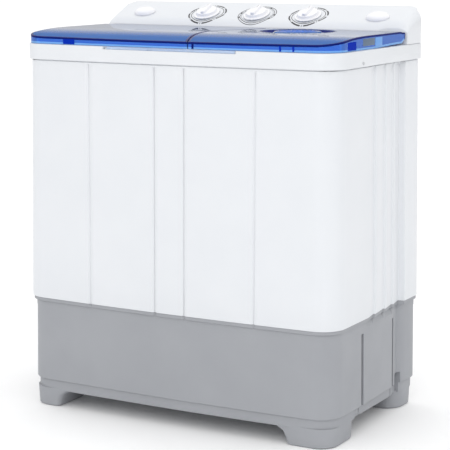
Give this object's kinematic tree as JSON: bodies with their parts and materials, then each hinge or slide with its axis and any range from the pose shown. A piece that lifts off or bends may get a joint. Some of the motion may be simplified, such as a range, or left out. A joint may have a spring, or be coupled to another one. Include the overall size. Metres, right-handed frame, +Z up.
{
  "type": "twin tub washer",
  "caption": "Twin tub washing machine: wash tub and spin tub side by side in one cabinet, with hinged blue lids and a sloping control console.",
  "frame": {"origin": "on the floor, under the middle of the machine's box", "axes": "+Z up, the front faces -Y, +X to the right seen from the front"},
  "size_m": [0.747, 0.445, 0.866],
  "materials": {
    "white_shell": "smooth satin white moulding",
    "grey_base": "fine grained grey moulding",
    "blue_lid": "clear blue, glossy",
    "white_control": "glossy white",
    "tub_plastic": "smooth pale grey",
    "machined_steel": "turned",
    "zinc_plated": "zinc plated",
    "motor_steel": "dark paint",
    "black_rubber": "dull",
    "dark_plastic": "dull",
    "filter_plastic": "satin blue"
  },
  "bodies": {
    "machine": {"cabinet": "white_shell", "rear_cover": "white_shell", "top_deck": "white_shell", "console_housing": "white_shell", "base_tray": "grey_base", "wash_tub": "tub_plastic", "spin_tub": "tub_plastic", "brake_post": "machined_steel", "lid_hinge_pin_1": "machined_steel", "lid_hinge_pin_2": "machined_steel", "lid_hinge_pin_3": "machined_steel", "lid_hinge_pin_4": "machined_steel", "inner_lid_pin": "machined_steel", "rear_cover_screw_1": "zinc_plated", "rear_cover_screw_2": "zinc_plated", "rear_cover_screw_3": "zinc_plated", "rear_cover_screw_4": "zinc_plated", "deck_screw_left": "zinc_plated", "deck_screw_right": "zinc_plated", "wash_motor": "motor_steel", "spin_motor": "motor_steel", "wash_bearing_box": "motor_steel", "drive_belt": "black_rubber", "shaft_seal": "black_rubber", "cord_gland": "black_rubber", "wash_motor_mount_1": "black_rubber", "wash_motor_mount_2": "black_rubber", "wash_motor_mount_3": "black_rubber", "spin_motor_mount_1": "black_rubber", "spin_motor_mount_2": "black_rubber", "spin_motor_mount_3": "black_rubber", "wash_timer_switch": "dark_plastic", "mode_switch": "dark_plastic", "spin_timer_switch": "dark_plastic", "drain_valve_body": "dark_plastic", "drain_outlet": "dark_plastic", "motor_capacitor": "dark_plastic", "overflow_cover": "filter_plastic"},
    "wash_lid": {"wash_lid": "blue_lid"},
    "spin_lid": {"spin_lid": "blue_lid"},
    "spin_inner_lid": {"spin_inner_lid": "tub_plastic"},
    "wash_timer_knob": {"wash_timer_knob": "white_control", "wash_timer_stem": "machined_steel"},
    "mode_knob": {"mode_knob": "white_control", "mode_stem": "machined_steel"},
    "spin_timer_knob": {"spin_timer_knob": "white_control", "spin_timer_stem": "machined_steel"},
    "pulsator": {"pulsator": "tub_plastic", "pulsator_shaft": "machined_steel", "wash_pulley": "motor_steel"},
    "motor_rotor": {"motor_shaft": "machined_steel", "motor_pulley": "motor_steel"},
    "spin_basket": {"spin_basket": "tub_plastic", "spin_shaft": "machined_steel", "brake_drum": "motor_steel"},
    "brake_lever": {"brake_lever": "zinc_plated"},
    "drain_valve_plunger": {"drain_valve_plunger": "black_rubber"},
    "lint_filter": {"lint_filter": "filter_plastic"},
    "inlet_cap_left": {"inlet_cap_left": "white_control"},
    "inlet_cap_right": {"inlet_cap_right": "white_control"}
  },
  "joints": [
    {"name": "wash_lid_hinge", "type": "hinge", "parent": "machine", "child": "wash_lid", "pos_m": [-0.18, 0.113, 0.8085], "axis": [-1, 0, 0], "range_deg": [0, 92]},
    {"name": "spin_lid_hinge", "type": "hinge", "parent": "machine", "child": "spin_lid", "pos_m": [0.21, 0.113, 0.8085], "axis": [-1, 0, 0], "range_deg": [0, 92]},
    {"name": "inner_lid_hinge", "type": "hinge", "parent": "machine", "child": "spin_inner_lid", "pos_m": [0.195, 0.1, 0.7935], "axis": [-1, 0, 0], "range_deg": [0, 88]},
    {"name": "wash_timer_turn", "type": "hinge", "parent": "machine", "child": "wash_timer_knob", "pos_m": [-0.1262, 0.16, 0.8427], "axis": [0, 0.4067, -0.9135], "range_deg": [0, 300]},
    {"name": "mode_turn", "type": "hinge", "parent": "machine", "child": "mode_knob", "pos_m": [0, 0.16, 0.8427], "axis": [0, 0.4067, -0.9135], "range_deg": [0, 90]},
    {"name": "spin_timer_turn", "type": "hinge", "parent": "machine", "child": "spin_timer_knob", "pos_m": [0.1262, 0.16, 0.8427], "axis": [0, 0.4067, -0.9135], "range_deg": [0, 300]},
    {"name": "pulsator_spin", "type": "hinge", "parent": "machine", "child": "pulsator", "pos_m": [-0.155, -0.045, 0.33], "axis": [0, 0, 1], "continuous": true},
    {"name": "motor_spin", "type": "hinge", "parent": "machine", "child": "motor_rotor", "pos_m": [-0.275, 0.085, 0.23], "axis": [0, 0, 1], "continuous": true},
    {"name": "basket_spin", "type": "hinge", "parent": "machine", "child": "spin_basket", "pos_m": [0.195, -0.045, 0.35], "axis": [0, 0, 1], "continuous": true},
    {"name": "brake_swing", "type": "hinge", "parent": "machine", "child": "brake_lever", "pos_m": [0.251, -0.095, 0.255], "axis": [0, 0, 1], "range_deg": [0, 2.5]},
    {"name": "drain_valve_lift", "type": "slide", "parent": "machine", "child": "drain_valve_plunger", "axis": [0, 0, 1], "range_m": [0, 0.0125]},
    {"name": "filter_lift", "type": "slide", "parent": "machine", "child": "lint_filter", "axis": [0, 0, 1], "range_m": [0, 0.03]},
    {"name": "cap_left_pull", "type": "slide", "parent": "machine", "child": "inlet_cap_left", "axis": [0, -0.4067, 0.9135], "range_m": [0, 0.02]},
    {"name": "cap_right_pull", "type": "slide", "parent": "machine", "child": "inlet_cap_right", "axis": [0, -0.4067, 0.9135], "range_m": [0, 0.02]}
  ],
  "couplings": [
    {"joint": "inner_lid_hinge", "follows": "spin_lid_hinge", "ratio": 0.95},
    {"joint": "brake_swing", "follows": "spin_lid_hinge", "ratio": 0.026},
    {"joint": "motor_spin", "follows": "pulsator_spin", "ratio": 3.593},
    {"joint": "drain_valve_lift", "follows": "mode_turn", "m_per_rad": 0.0076}
  ]
}
